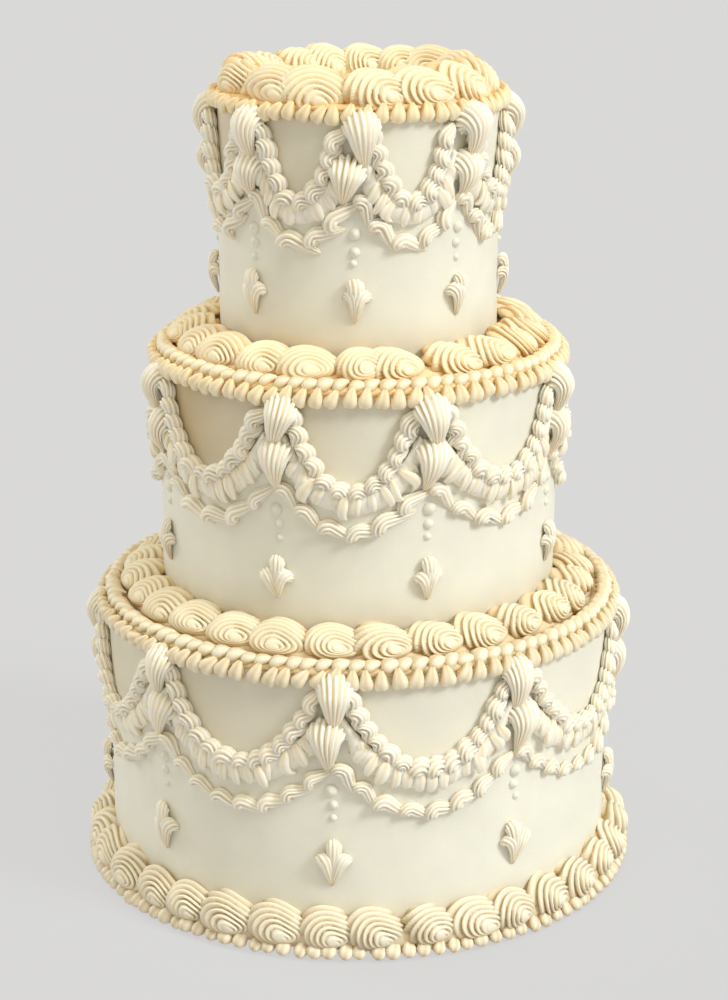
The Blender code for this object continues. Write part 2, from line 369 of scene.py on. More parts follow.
def star(turn: np.ndarray, ridges: int, depth: Values) -> tuple[np.ndarray, np.ndarray]:
    """Section of icing from a star tip, whose radius is 1 less depth times (1 less the hump).

    Args:
        turn: Angle round the section.
        ridges: Number of ridges round it.
        depth: Groove depth as a share of the radius.

    Returns:
        The radius, and how deep each point lies in a groove from 0 to 1.
    """
    deep = 1.0 - hump(0.5 * ridges * turn)
    return 1.0 - depth * deep, deep


@dataclass(frozen=True)
class HookShell:
    """A short strand that curls over itself, so that its ridges show as nested hooks.

    Its middle line turns clockwise from under the head on the left over the top, then runs
    straight to the tail on the right. With q its share of the reach, a point at turn b and
    section angle s lies at line(b) + (1 - q) w cos s along its normal and w sin s out of the
    surface. Here w is the star section times a width that closes the head and thins the
    tail. What lies below the bend centre is pressed together, and the whole is scaled to
    fill its wanted box.

    Args:
        ridges: Ridges round the whole section.
        samples: Points to each ridge.
        along: Points along the middle line.
        groove: Groove depth as a share of the section.
        start: Bend angle under the head, in degrees.
        level: Bend angle where the straight tail starts.
        run: Length of the straight tail.
        thin: Width left at the tail's end.
        low: Depth left at the tail's end.
        back: Depth behind the surface as a share of the depth in front.
        twist: How far the ridges turn from end to end, in radians.
        lean: How much further the head stands out than the tail.
        spine: The middle line's share of the reach.
        press: Share of its height that is left to the part below the bend centre.
        spread: How much further the tail's lower side reaches.
    """

    ridges: int = 11
    samples: int = 3
    along: int = 11
    groove: float = 0.37
    start: float = 192.0
    level: float = 62.0
    run: float = 1.0
    thin: float = 0.5
    low: float = 0.55
    back: float = 0.5
    twist: float = 1.0
    lean: float = 0.3
    spine: float = 0.45
    press: float = 0.6
    spread: float = 0.6

    def unit(self, jitter: np.ndarray) -> tuple[np.ndarray, ...]:
        """Works out strands in their own units.

        Args:
            jitter: Six normal deviates for each strand, or zeros for the plain one.

        Returns:
            Right, up and out of each point, and its crevice value.
        """
        j = jitter.T[:, :, None, None]
        v = np.linspace(0.0, 1.0, self.along)[None, :, None]
        sigma = circle(self.ridges * self.samples)[None, None]
        first, last = math.radians(self.start), math.radians(self.level)
        arc = 0.7 * (first - last)
        way = v * (arc + self.run)
        bend = first - (first - last) * np.minimum(way / arc, 1.0) + 0.05 * j[0]
        straight = np.maximum(way - arc, 0.0)
        head = np.minimum(1.0, v / 0.18 + 0.04) ** 0.55
        tail = 1 - (1 - self.thin) * (straight / self.run) ** 1.2
        width = head * tail * np.minimum(1.0, (1.02 - v) / 0.12) ** 0.5
        waver = np.sin(2 * np.pi * (3 + 0.5 * j[2]) * v + 3 * j[3])
        width = width * (1 + 0.018 * (1 + 0.5 * j[1]) * waver)
        index = np.floor(self.ridges * sigma / (2 * np.pi) + 1e-6)
        groove = self.groove * (1 + 0.15 * j[5]) * (1 + 0.3 * np.sin(2.4 * index + 5 * j[3]))
        section, deep = star(sigma, self.ridges, groove)
        turn = sigma + self.twist * (v - 0.5) + 0.1 * np.sin(2 * sigma + 2 * j[4])
        reach = (1 - self.spine) * width * section * np.cos(turn)
        reach = reach * np.where(reach < 0, 1 + self.spread * (straight / self.run) ** 0.7, 1.0)
        x = (self.spine + reach) * np.cos(bend) + straight * math.sin(last)
        y = (self.spine + reach) * np.sin(bend) - straight * math.cos(last)
        y = y * (0.5 + 0.5 * self.press + (0.5 - 0.5 * self.press) * np.tanh(y / 0.15))
        swell = (1 - (1 - self.low) * v ** 1.5) * (0.75 + 0.25 * np.minimum(1.0, v / 0.35))
        z = swell * width * section * np.sin(turn)
        z = np.where(z > 0, z, self.back * z)
        # Painted shade in the grooves, towards the thin ends and along the edges where the strand meets the
        # wall.
        crease = deep ** 1.2 + 0.5 * (1 - width) ** 2 + 0.5 * (1 - np.abs(np.sin(turn))) ** 4
        return x, y, z, np.broadcast_to(np.clip(crease, 0, 1), x.shape)

    def surfaces(self, frames: Frames, sizes: tuple[Values, ...], rng: np.random.Generator) -> Surfaces:
        """Works out all strands at once.

        Args:
            frames: One frame for each strand, at the middle of its box.
            sizes: Half length along right, half height along up, and depth.
            rng: Seeded source of unevenness.

        Returns:
            The points shaped (strands, along, around, 3) and their crevice values.
        """
        n = len(frames)
        across, tall, depth = (column(size, n) for size in sizes)
        x, y, z, crease = self.unit(rng.normal(0, 1, (n, 6)))
        plain = self.unit(np.zeros((1, 6)))
        x, y = (2 * (g - p.min()) / np.ptp(p) - 1 for g, p in zip((x, y), plain))
        return frames.point(across * x, tall * y, depth * (z / plain[2].max() - self.lean * x)), crease


@dataclass(frozen=True)
class SwirlShell:
    """A plump shell whose ridges lie as nested arcs round a point low on its right.

    The outline is an egg, taller at its head on the left. The grid runs from the focus out
    to the outline over the front, then back behind it. With e the square of the distance from
    the middle as a share of the outline, the surface stands out by the square root of 1 less e.
    Grooves follow the number of rings from the focus, which grows faster upwards than
    downwards and by one in each turn, so the arcs run off the outline. They fade out where the
    outline is near the focus.

    Args:
        rings: Mean number of rings from the focus to the outline.
        rows: Rows of points over the front.
        rows_behind: Rows of points behind.
        around: Points round each row.
        groove: Groove depth as a share of the shell's radius.
        back: Depth behind the surface as a share of the depth in front.
        focus: Where the arcs bend round, as shares of the half length and half height.
        skew: How much faster the rings grow upwards.
        rise: Direction in which they grow fastest, in degrees.
        egg: How much taller the head is.
        lean: How much further the head stands out.
    """

    rings: float = 5.9
    rows: int = 40
    rows_behind: int = 6
    around: int = 44
    groove: float = 0.27
    back: float = 0.35
    focus: tuple[float, float] = (0.40, -0.66)
    skew: float = 0.34
    rise: float = 122.0
    egg: float = 0.26
    lean: float = 0.22

    def surfaces(self, frames: Frames, sizes: tuple[Values, ...], rng: np.random.Generator) -> Surfaces:
        """Works out all shells at once.

        Args:
            frames: One frame for each shell, at its middle.
            sizes: Half length along right, half height along up, and depth.
            rng: Seeded source of unevenness.

        Returns:
            The points shaped (shells, along, around, 3) and their crevice values.
        """
        n = len(frames)
        across, tall, depth = (column(size, n) for size in sizes)
        j = rng.normal(0, 1, (6, n, 1, 1))
        turn = circle(self.around)[None, None]
        share = np.concatenate([1 - (1 - np.linspace(0.04, 1, self.rows)) ** 1.35,
                                np.linspace(0.96, 0.06, self.rows_behind)])[None, :, None]
        side = np.concatenate([np.ones(self.rows), np.full(self.rows_behind, -self.back)])[None, :, None]
        edge_x, edge_y = np.cos(turn), np.sin(turn) * (1 - self.egg * np.cos(turn))
        focus_x, focus_y = self.focus[0] + 0.07 * j[0], self.focus[1] + 0.045 * j[1]
        x = focus_x + share * (edge_x - focus_x)
        y = focus_y + share * (edge_y - focus_y)
        flat = y / (1 - self.egg * x)
        e = np.clip(x ** 2 + flat ** 2, 0, 1)
        rise = math.radians(self.rise) + 0.25 * j[2]
        number = self.rings * share * (1 + self.skew * np.cos(turn - rise)) + turn / (2 * np.pi)
        number = number + 0.35 * share * np.sin(2 * turn + 2 * j[3]) + j[4]
        reach = np.hypot(edge_x - focus_x, edge_y - focus_y)
        calm = np.clip((reach - 0.35) / 0.8, 0.1, 1) * np.clip((share - 0.1) / 0.25, 0, 1)
        deep = (1 - hump(np.pi * number)) * calm
        scale = 1 - self.groove * (1 + 0.15 * j[5]) * deep
        z = scale * np.sqrt(1 - e) * side * (1 - self.lean * x)
        # Painted shade in the grooves, at the outline and on the lower part of the shell.
        crease = deep ** 1.1 + 0.55 * e ** 5 + 0.25 * np.clip(-flat - 0.4, 0, 1)
        return frames.point(across * scale * x, tall * scale * y, depth * z), np.clip(crease, 0, 1)


@dataclass(frozen=True)
class Bulb:
    """A teardrop from a star tip that starts at a pole, swells into a head and draws out to a tail.

    Its middle line is a quadratic curve in the plane of up and out, so the head can curl
    over. The half width grows to full by the share swell of the way, then falls to tip.

    Args:
        ridges: Ridges round the section.
        samples: Points to each ridge.
        along: Points along the middle line.
        groove: Groove depth as a share of the radius.
        swell: Where the bulb is widest.
        taper: Power of the fall towards the tail.
        tip: Half width at the tail as a share of the full one.
        flat: Depth of the section as a share of its width, past the head.
        belly: Power that keeps the bulb wide before it falls.
        sides: Painted shade where the bulb touches its neighbours.
    """

    ridges: int = 12
    samples: int = 4
    along: int = 20
    groove: float = 0.16
    swell: float = 0.25
    taper: float = 0.9
    tip: float = 0.12
    flat: float = 0.9
    belly: float = 1.0
    sides: float = 0.0

    def surfaces(self, frames: Frames, line: tuple[tuple[float, float], ...], half_width: np.ndarray,
                 rng: np.random.Generator, scale: Values = 1.0,
                 sway: Values = 0.0) -> Surfaces:
        """Works out all bulbs at once.

        Args:
            frames: One frame for each bulb.
            line: Start, bend and end of the middle line as (up, out).
            half_width: Full half width of each bulb.
            rng: Seeded source of unevenness.
            scale: Size of each bulb's middle line.
            sway: Sideways bow of the middle line as a share of the half width.

        Returns:
            The points shaped (bulbs, along, around, 3) and their crevice values.
        """
        n = len(frames)
        half = column(half_width, n)
        v = np.linspace(0.0, 1.0, self.along) ** 1.25
        s = circle(self.ridges * self.samples)[None, None]
        p = np.array(line, float)
        blend = np.stack([(1 - v) ** 2, 2 * v * (1 - v), v ** 2], 1)
        middle = blend @ p
        speed = np.stack([2 * (v - 1), 2 - 4 * v, 2 * v], 1) @ p
        speed /= np.linalg.norm(speed, axis=1, keepdims=True) + 1e-9
        grow = np.sqrt(1 - (1 - np.clip(v / self.swell, 0.04, 1)) ** 2)
        past = np.clip((v - self.swell) / (1 - self.swell), 0, 1)
        fall = self.tip + (1 - self.tip) * (1 - past ** self.belly) ** self.taper
        width = (grow * fall)[None, :, None] * half
        ripple = 1 + 0.02 * np.sin(2 * np.pi * (3 * v[None, :, None] + column(rng.random(n), n)))
        section, deep = star(s + column(rng.uniform(-0.1, 0.1, n), n), self.ridges,
                             self.groove * column(rng.uniform(0.8, 1.2, n), n))
        around = width * section * ripple
        size = column(scale, n)
        bow = column(sway, n) * half * np.sin(np.pi * v ** 0.7)[None, :, None]
        flat = 1 + (self.flat - 1) * np.minimum(1.0, v / 0.35)
        depth = flat[None, :, None] * around * np.sin(s)
        x = around * np.cos(s) + bow
        y = size * middle[None, :, 0, None] + depth * speed[None, :, 1, None]
        z = size * middle[None, :, 1, None] - depth * speed[None, :, 0, None]
        v = v[None, :, None]
        # Painted shade in the grooves, towards the tail, on the underside and, by sides, where bulbs touch.
        crease = min(1.0, self.groove / 0.25) * deep ** 1.2
        crease = crease + 0.6 * np.clip(v - 0.55, 0, 1) + 0.3 * np.clip(-z / 0.002, 0, 1)
        crease = crease + self.sides * (np.abs(np.cos(s)) ** 4 + 0.7 * np.clip(1 - v / 0.25, 0, 1))
        return frames.point(x, y, z), np.broadcast_to(np.clip(crease, 0, 1), x.shape)


@dataclass(frozen=True)
class Bed:
    """A soft ring of icing that fills the gaps under shells or beads.

    Its section is an ellipse that wavers a little round the cake. Its ends meet at the back.

    Args:
        radius: Radius of the section's middle.
        height: Height of the section's middle.
        half_width: Half width of the section.
        half_height: Half height of the section.
        shade: Its crevice value: painted shade that darkens the ring in the gaps.
    """

    radius: float
    height: float
    half_width: float
    half_height: float
    shade: float = 0.5

    def surface(self) -> Surfaces:
        """Works out the ring.

        Returns:
            One tube shaped (1, along, around, 3) and its crevice values.
        """
        turn = np.linspace(-np.pi, np.pi, 241)[:, None]
        section = circle(14)[None]
        waver = 1 + 0.05 * np.sin(23 * turn) + 0.04 * np.sin(61 * turn)
        r = self.radius + self.half_width * waver * np.cos(section)
        z = self.height + self.half_height * waver * np.sin(section)
        grid = turned(r, turn, z)[None]
        return grid, np.full(grid.shape[:3], self.shade)


ROPE_STRAND = HookShell()
SCROLL = HookShell(ridges=10, along=18, groove=0.38, start=225.0, level=78.0, run=1.7, thin=0.4, lean=0.25,
                   twist=0.8, spread=0.2)
RIM_CURL = Bulb(ridges=3, along=8, groove=0.15, swell=0.36, taper=0.8, tip=0.2, sides=0.5)
RIM_BEAD = Bulb(ridges=4, samples=3, along=8, groove=0.15, swell=0.42, taper=0.6, tip=0.3, flat=0.85,
                sides=0.5)
BASE_BEAD = replace(RIM_BEAD, flat=0.9)
PETAL = replace(RIM_BEAD, groove=0.16, swell=0.7, flat=0.5, sides=0.12)
DOT = Bulb(ridges=4, along=10, groove=0.0, swell=0.5, taper=0.55, tip=0.05, flat=1.0)
FAN = Bulb(ridges=16, along=22, groove=0.36, swell=0.16, taper=0.95, tip=0.16, flat=0.62, belly=1.45)
LOBE = Bulb(ridges=10, along=18, groove=0.42, swell=0.26, tip=0.25, flat=0.62, belly=1.3)

# Middle lines of the small beads, from tip to root, as (up, out).
CURL_LINE = ((-0.0016, -0.0004), (0.0016, 0.0064), (0.0080, -0.0004))
RIM_BEAD_LINE = ((-0.0026, -0.0008), (-0.0030, 0.0056), (0.0050, 0.0014))
BASE_BEAD_LINE = ((0.0012, 0.0034), (0.0040, 0.0040), (0.0090, -0.0060))


@dataclass(frozen=True)
class Tier:
    """One tier's driving sizes, as the frame has them.

    Args:
        name: bottom, middle or top.
        radius: Wall radius.
        front: Angles of the plumes that the front view shows.
        plumes: How many plumes go round.
        crest: Height of the rim's upper row above the tier's top.
        proud: How far a plume stands off the wall.
        beads: Beads in each rim row.
        head: Height of the plumes' heads above the tier's top.
        tail: Depth of the plumes' tails below the top, as the next five are.
        rope: Lowest point of the upper rope.
        frill: Lowest hem of the frill.
        lower_rope: Lowest point of the lower rope.
        dots: The first dot.
        spray: Middle of the wall spray.
        spray_height: Height of the wall spray.
        strand: Pitch of the lower rope's strands.
        rim_color: Colour of the rim's beads, linear.
        rim_shade: Painted-shade colour between them, linear.
        window_shade_strength: Strength of the painted shade in the windows under the rope.
        curls: Whether the rim's upper row shows.
    """

    name: str
    radius: float
    front: tuple[float, ...]
    plumes: int
    crest: float
    proud: float
    beads: int
    head: float
    tail: float
    rope: float
    frill: float
    lower_rope: float
    dots: float
    spray: float
    spray_height: float
    strand: float
    rim_color: Color
    rim_shade: Color
    window_shade_strength: float
    curls: bool = True

    @property
    def top(self) -> float:
        """Height of the tier's top."""
        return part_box("tier_" + self.name)[1].z

    @property
    def foot(self) -> float:
        """Height of the tier's underside."""
        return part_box("tier_" + self.name)[0].z

    @property
    def plume_angles(self) -> np.ndarray:
        """All plume angles in rising order: the front ones, then an even rest behind."""
        rest = self.plumes - len(self.front)
        step = (self.front[0] + 360.0 - self.front[-1]) / (rest + 1)
        return np.array([*self.front, *(self.front[-1] + step * (k + 1) for k in range(rest))])

    @property
    def next_angles(self) -> np.ndarray:
        """The angle of the plume that follows each one."""
        return np.append(self.plume_angles[1:], self.plume_angles[0] + 360.0)


TIERS = (
    Tier("bottom", 0.131, (-86.0, -47.0, -5.5, 35.5, 80.0), 9, 0.0046, 0.0142, 106, 0.0022, tail=0.0500,
         rope=0.0435, frill=0.0625, lower_rope=0.0725, dots=0.0607, spray=0.0980, spray_height=0.0270,
         strand=0.0122, rim_color=(0.95, 0.89, 0.72), rim_shade=(0.60, 0.40, 0.14), window_shade_strength=0.62),
    Tier("middle", 0.1015, (-68.5, -22.5, 19.0, 67.5), 8, 0.0046, 0.0158, 85, 0.0006, tail=0.0490,
         rope=0.0430, frill=0.0620, lower_rope=0.0690, dots=0.0594, spray=0.0935, spray_height=0.0230,
         strand=0.0145, rim_color=(0.97, 0.91, 0.72), rim_shade=(0.76, 0.47, 0.13), window_shade_strength=1.6),
    Tier("top", 0.070, (-88.5, -45.0, -1.5, 42.0, 86.0), 8, 0.0028, 0.0148, 62, 0.0006, tail=0.0455,
         rope=0.0395, frill=0.0575, lower_rope=0.0645, dots=0.0600, spray=0.0910, spray_height=0.0235,
         strand=0.0138, rim_color=(0.98, 0.91, 0.69), rim_shade=(0.78, 0.45, 0.10), window_shade_strength=0.85, curls=False),
)


# Depths below the tier's top where a plume's upper fan ends and its lower fan starts.
UPPER_FAN_TAIL, LOWER_FAN_HEAD = 0.0300, 0.0205
# The lobes of a wall spray from its tail: lean in degrees, length by half height, half width, bow.
SPRAY_LOBES = ((30, 1.34, 0.0044, 1.0), (-31, 1.38, 0.0045, -1.0), (2, 1.88, 0.0044, 0.3))


@dataclass(frozen=True)
class TierDresser:
    """Dresses one tier: its wall with dots, its rim beads, its plumes, swags, frill and sprays.

    Args:
        tier: Its sizes.
        seed: Seed of its unevenness.
        shoulder: Radius of the bend from wall to top.
        bead_pitch: Pitch at which the rim's beads have their plain size.
        dot_sizes: Radii of the dots under a plume.
        dot_steps: Their depths below the first dot.
        rope_pitch: Pitch of the upper rope's strands.
        rope_start: Depth of that rope where it leaves a plume.
        rope_bend: Power of its curve.
        petal: Pitch of the frill's petals.
        fan_out: Share of the curve's slope at which the frill hangs.
        hem: Depth of the frill's middle line below the rope's lowest point.
    """

    tier: Tier
    seed: int
    shoulder: float = 0.0035
    bead_pitch: float = 0.0078
    dot_sizes: tuple[float, ...] = (0.0031, 0.0025, 0.0019)
    dot_steps: tuple[float, ...] = (0.0, 0.0074, 0.0142)
    rope_pitch: float = 0.0083
    rope_start: float = 0.0110
    rope_bend: float = 2.3
    petal: float = 0.0056
    fan_out: float = 0.55
    hem: float = 0.0060

    def build(self) -> None:
        """Builds every piece of the tier."""
        self.wall()
        self.rim()
        self.garland()
        self.lower_swag()
        self.sprays()

    def rng(self, part: int) -> np.random.Generator:
        """Returns the seeded random source of one part."""
        return np.random.default_rng(1000 * self.seed + part)

    def wall(self) -> None:
        """The smoothed wall and top, turned from a profile and very slightly wavy, with the dots.

        The profile runs from the middle of the underside, up the wall, round the shoulder and
        back to the middle of the top. The radius has a slow wave of 0.2 mm round and up the wall.
        """
        t = self.tier
        piece = Piece("tier_wall_" + t.name, WALL, Slot.ICING, ("tier_" + t.name,))
        bend = np.radians(np.linspace(0, 90, 7))[1:]
        height = np.linspace(t.foot, t.top - self.shoulder, 40)
        radii = np.concatenate([[0.002, 0.5 * t.radius, t.radius - 0.001], np.full(40, t.radius),
                                t.radius - self.shoulder * (1 - np.cos(bend)),
                                np.linspace(t.radius - 0.006, 0.002, 12)])
        levels = np.concatenate([np.full(3, t.foot), height, t.top - self.shoulder * (1 - np.sin(bend)),
                                 np.full(12, t.top)])
        turn = circle(288)
        smear = (0.00012 * np.sin(3 * turn[None] + 40 * levels[:, None])
                 + 0.00008 * np.sin(7 * turn[None] - 90 * levels[:, None] + self.seed))
        r = radii[:, None] + smear * (radii[:, None] > 0.9 * t.radius)
        grid = turned(r, turn, levels[:, None])
        outer = np.clip((radii - t.radius + 0.006) / 0.004, 0, 1)[:, None]
        # Painted shade: the crevice value grows towards the wall's foot, where the border shells sit.
        low = np.clip((t.foot + 0.03 - levels) / 0.03, 0, 1)[:, None]
        # Painted shade in the windows under the rope, plus the painted shade at the foot.
        crease = outer * self.window_shade(np.degrees(turn), levels[:, None]) + 0.4 * outer * low
        piece.add_tubes(grid[None], crease[None])
        rng = self.rng(1)
        for size, step in zip(self.dot_sizes, self.dot_steps):
            angles = t.plume_angles + rng.normal(0, 0.25, t.plumes)
            sizes = size * rng.uniform(0.93, 1.07, t.plumes)
            frames = ring_frames(angles, t.radius, t.top - t.dots - step + rng.normal(0, 0.0003, t.plumes))
            line = ((0.0, -0.0010), (0.0, 0.0), (0.0002, 0.85 * size))
            points, crease = DOT.surfaces(frames, line, sizes, rng)
            piece.add_tubes(points, 0.15 * crease)
        piece.build()

    def window_shade(self, angle: np.ndarray, level: np.ndarray) -> np.ndarray:
        """Painted shade on the wall inside the windows between plumes, rope and rim.

        With p the share of the way between two plumes, a point is inside above the rope's
        curve. The painted shade falls from left to right there, by p, and over the whole tier, by a
        sine of the angle, so that the left, away from the key light, is darkest. It is weaker behind.

        Args:
            angle: Angles in degrees.
            level: Heights, shaped to broadcast with the angles.

        Returns:
            Values from 0 to 1.
        """
        t = self.tier
        starts, ends = t.plume_angles, t.next_angles
        turned = (angle - starts[0]) % 360.0 + starts[0]
        k = np.searchsorted(starts, turned, side="right") - 1
        p = (turned - starts[k]) / (ends[k] - starts[k])
        depth = self.rope_start + (t.rope - self.rope_start) * (1 - np.abs(2 * p - 1) ** self.rope_bend)
        inside = np.clip((level - t.top + depth + 0.003) / 0.005, 0, 1)
        side = 0.5 - 0.5 * np.sin(np.radians(angle + 28.0))
        side = side * np.clip(0.75 + 0.5 * np.cos(np.radians(angle)), 0, 1)
        return inside * (0.05 + t.window_shade_strength * side ** 1.5 * (1.15 - 0.5 * p))

    def rim(self) -> None:
        """Two rows over the shoulder: curls that lie along it on top, round leaning beads below."""
        t, rng = self.tier, self.rng(2)
        finish = replace(CREAM, name="rim_piping_" + t.name, crest=t.rim_color, groove=t.rim_shade)
        piece = Piece("rim_beads_" + t.name, finish, Slot.WARM, ("rim_" + t.name,))
        n = t.beads
        pitch = 360.0 / n
        scale = 2 * np.pi * t.radius / n / self.bead_pitch
        spot = pitch * np.arange(n)
        if t.curls:
            frames = ring_frames(spot - 0.3 * pitch + rng.normal(0, 0.05 * pitch, n), t.radius - 0.0038,
                                 t.top + t.crest - 0.0050, 50, -60 + rng.normal(0, 9, n))
            half = 0.0043 * scale * rng.uniform(0.85, 1.1, n)
            piece.add_tubes(*RIM_CURL.surfaces(frames, CURL_LINE, half, rng, scale))
        lean = -12.0 + 34.0 * np.sin(np.radians(spot)) + rng.normal(0, 10, n)
        frames = ring_frames(spot + 0.5 * pitch + rng.normal(0, 0.07 * pitch, n), t.radius,
                             t.top - 0.0032 + rng.normal(0, 0.0003, n), rng.normal(0, 4, n), lean)
        half = 0.0046 * scale * rng.uniform(0.9, 1.08, n)
        piece.add_tubes(*RIM_BEAD.surfaces(frames, RIM_BEAD_LINE, half, rng, scale))
        bed = Bed(t.radius - 0.0046, t.top - 0.0012, 0.0052, 0.5 * t.crest + 0.0006, 0.7)
        piece.add_tubes(*bed.surface())
        piece.build()

    def swag(self, k: int, start: float, low: float, power: float,
             inset: float) -> tuple[np.ndarray, np.ndarray]:
        """A hanging curve between plume k and the next.

        Args:
            k: Number of the left plume.
            start: Depth below the tier's top where the curve leaves a plume.
            low: Depth of its lowest point.
            power: Shape of the curve: depth falls short of low by |2p - 1| to this power.
            inset: Distance from a plume's middle where the curve starts.

        Returns:
            Dense arrays of the angle and the height along the curve.
        """
        t = self.tier
        first, last = t.plume_angles[k], t.next_angles[k]
        edge = math.degrees(inset / t.radius)
        p = np.linspace(0, 1, 400)
        depth = start + (low - start) * (1 - np.abs(2 * p - 1) ** power)
        return first + edge + (last - first - 2 * edge) * p, t.top - depth

    def paced(self, angle: np.ndarray, height: np.ndarray, pitch: float) -> tuple[np.ndarray, ...]:
        """Places along a curve, an even step apart.

        Args:
            angle: Angles of the curve's points.
            height: Their heights.
            pitch: The wanted step.

        Returns:
            Angle, height, slope in degrees and share of the way at each place.
        """
        x = np.radians(angle) * self.tier.radius
        run = np.concatenate([[0], np.cumsum(np.hypot(np.diff(x), np.diff(height)))])
        steps = max(3, round(run[-1] / pitch))
        at = (np.arange(steps) + 0.5) / steps * run[-1]
        slope = np.degrees(np.arctan2(np.gradient(height), np.gradient(x)))
        return *(np.interp(at, run, line) for line in (angle, height, slope)), at / run[-1]

    def garland(self) -> None:
        """Plumes of two fan shells each, the ridged rope between them and the frill under the rope."""
        t, rng = self.tier, self.rng(3)
        piece = Piece("garland_piping_" + t.name, IVORY, Slot.PIPING, ("garland_" + t.name,))
        for k in range(t.plumes):
            self.frill(piece, k, rng)
        for k in range(t.plumes):
            curve = self.swag(k, self.rope_start, t.rope + 0.0056, self.rope_bend, 0.0076)
            angle, height, slope, _ = self.paced(*curve, self.rope_pitch)
            n = len(angle)
            size = rng.uniform(0.9, 1.15, n)
            frames = ring_frames(angle, t.radius + 0.0022, height + rng.normal(0, 0.0003, n),
                                 rng.normal(0, 5, n), slope + rng.normal(0, 9, n))
            points, crease = ROPE_STRAND.surfaces(frames, (0.0068 * size, 0.0050 * size, 0.0048 * size), rng)
            piece.add_tubes(points, 0.65 * crease)
        n = t.plumes
        for first, last, width, proud in ((-t.head, UPPER_FAN_TAIL, 0.0094, 1.0),
                                          (LOWER_FAN_HEAD, t.tail, 0.0098, 0.88)):
            half = width * rng.uniform(0.95, 1.05, n)
            frames = ring_frames(t.plume_angles + rng.normal(0, 0.3, n), t.radius, t.top - first,
                                 0, rng.normal(0, 5, n))
            drop = first - last
            line = ((-width, -0.0010), (-0.8 * width, 2.0 * (proud * t.proud - 0.0072)), (drop, 0.0012))
            piece.add_tubes(*FAN.surfaces(frames, line, half, rng, 1.0, rng.normal(0.12, 0.24, n)))
        piece.build()

    def frill(self, piece: Piece, k: int, rng: np.random.Generator) -> None:
        """A skirt under the rope of swag k with drooping petals over it.

        The petals hang from the rope with their round ends down, and fan out with the curve.
        The skirt behind them runs from under the rope to its hem and back along the wall.

        Args:
            piece: The piece that takes it up.
            k: Number of the swag.
            rng: Seeded source of unevenness.
        """
        t = self.tier
        curve = self.swag(k, 0.0210, t.rope + self.hem, 2.2, 0.0050)
        hang = t.frill - t.rope - self.hem
        angle, height, slope, share = self.paced(*curve, self.petal)
        n = len(angle)
        ends = np.clip(np.minimum(share, 1 - share) / 0.14, 0.45, 1)
        frames = ring_frames(angle, t.radius + 0.0008, height, rng.normal(0, 3, n),
                             self.fan_out * slope + rng.normal(0, 6, n))
        line = ((-0.98 * hang, 0.0008), (-0.70 * hang, 0.0054), (0.0, 0.0032))
        piece.add_tubes(*PETAL.surfaces(frames, line, 0.60 * self.petal * rng.uniform(0.7, 1.2, n), rng,
                                        ends * rng.uniform(0.76, 1.08, n), rng.normal(0, 0.5, n)))
        angle, height, slope, share = self.paced(*curve, 0.0014)
        lean = np.radians(self.fan_out * slope)[:, None]
        ends = np.clip(np.minimum(share, 1 - share) / 0.14, 0.35, 1)
        down = np.array([0.0, 0.25, 0.5, 0.75, 1.0, 1.0, 0.0])
        proud = np.array([0.0036, 0.0046, 0.0044, 0.0036, 0.0018, -0.0004, -0.0006])
        fall = down[None] * (0.84 * hang * ends)[:, None]
        turn = np.radians(angle)[:, None] + np.sin(lean) * fall / t.radius
        r = t.radius + np.broadcast_to(proud[None], fall.shape)
        grid = turned(r, turn, height[:, None] - np.cos(lean) * fall)
        # Painted shade: the skirt behind the petals is given an even crevice value of 0.15.
        piece.add_tubes(grid[None], np.full((1, *fall.shape), 0.15))

    def lower_swag(self) -> None:
        """The thinner scrolled rope from tail to tail."""
        t, rng = self.tier, self.rng(4)
        piece = Piece("lower_swag_piping_" + t.name, IVORY, Slot.PIPING, ("lower_swag_" + t.name,))
        for k in range(t.plumes):
            curve = self.swag(k, t.tail - 0.0010, t.lower_rope, 2.0, 0.0030)
            angle, height, slope, _ = self.paced(*curve, t.strand)
            n = len(angle)
            size = rng.uniform(0.9, 1.15, n)
            frames = ring_frames(angle, t.radius + 0.0004, height, 0, slope + rng.normal(-4, 6, n))
            sizes = 0.74 * t.strand * size, 0.0044 * size, 0.0042 * size
            points, crease = SCROLL.surfaces(frames, sizes, rng)
            piece.add_tubes(points, 0.65 * crease)
        piece.build()

    def sprays(self) -> None:
        """The small wall sprays: a lobe up, one to each side, and a tail down."""
        t, rng = self.tier, self.rng(5)
        half = t.spray_height / 2
        for k, angle in enumerate(t.plume_angles):
            name = f"motif_{t.name}_{k + 1}"
            piece = Piece("spray_" + name, IVORY, Slot.PIPING, (name,))
            for turn, length, width, bow in SPRAY_LOBES:
                reach = half * length * rng.uniform(0.95, 1.04)
                frames = ring_frames(np.array([angle]), t.radius, t.top - t.spray - 0.9 * half, 0,
                                     np.array([turn + rng.normal(0, 3)]))
                line = ((reach - 0.8 * width, 0.0), (reach - 0.5 * width, 0.0064), (-0.02 * reach, 0.0004))
                piece.add_tubes(*LOBE.surfaces(frames, line, width * rng.uniform(0.92, 1.08, 1), rng, 1.0,
                                               bow + rng.normal(0, 0.08)))
            piece.build()


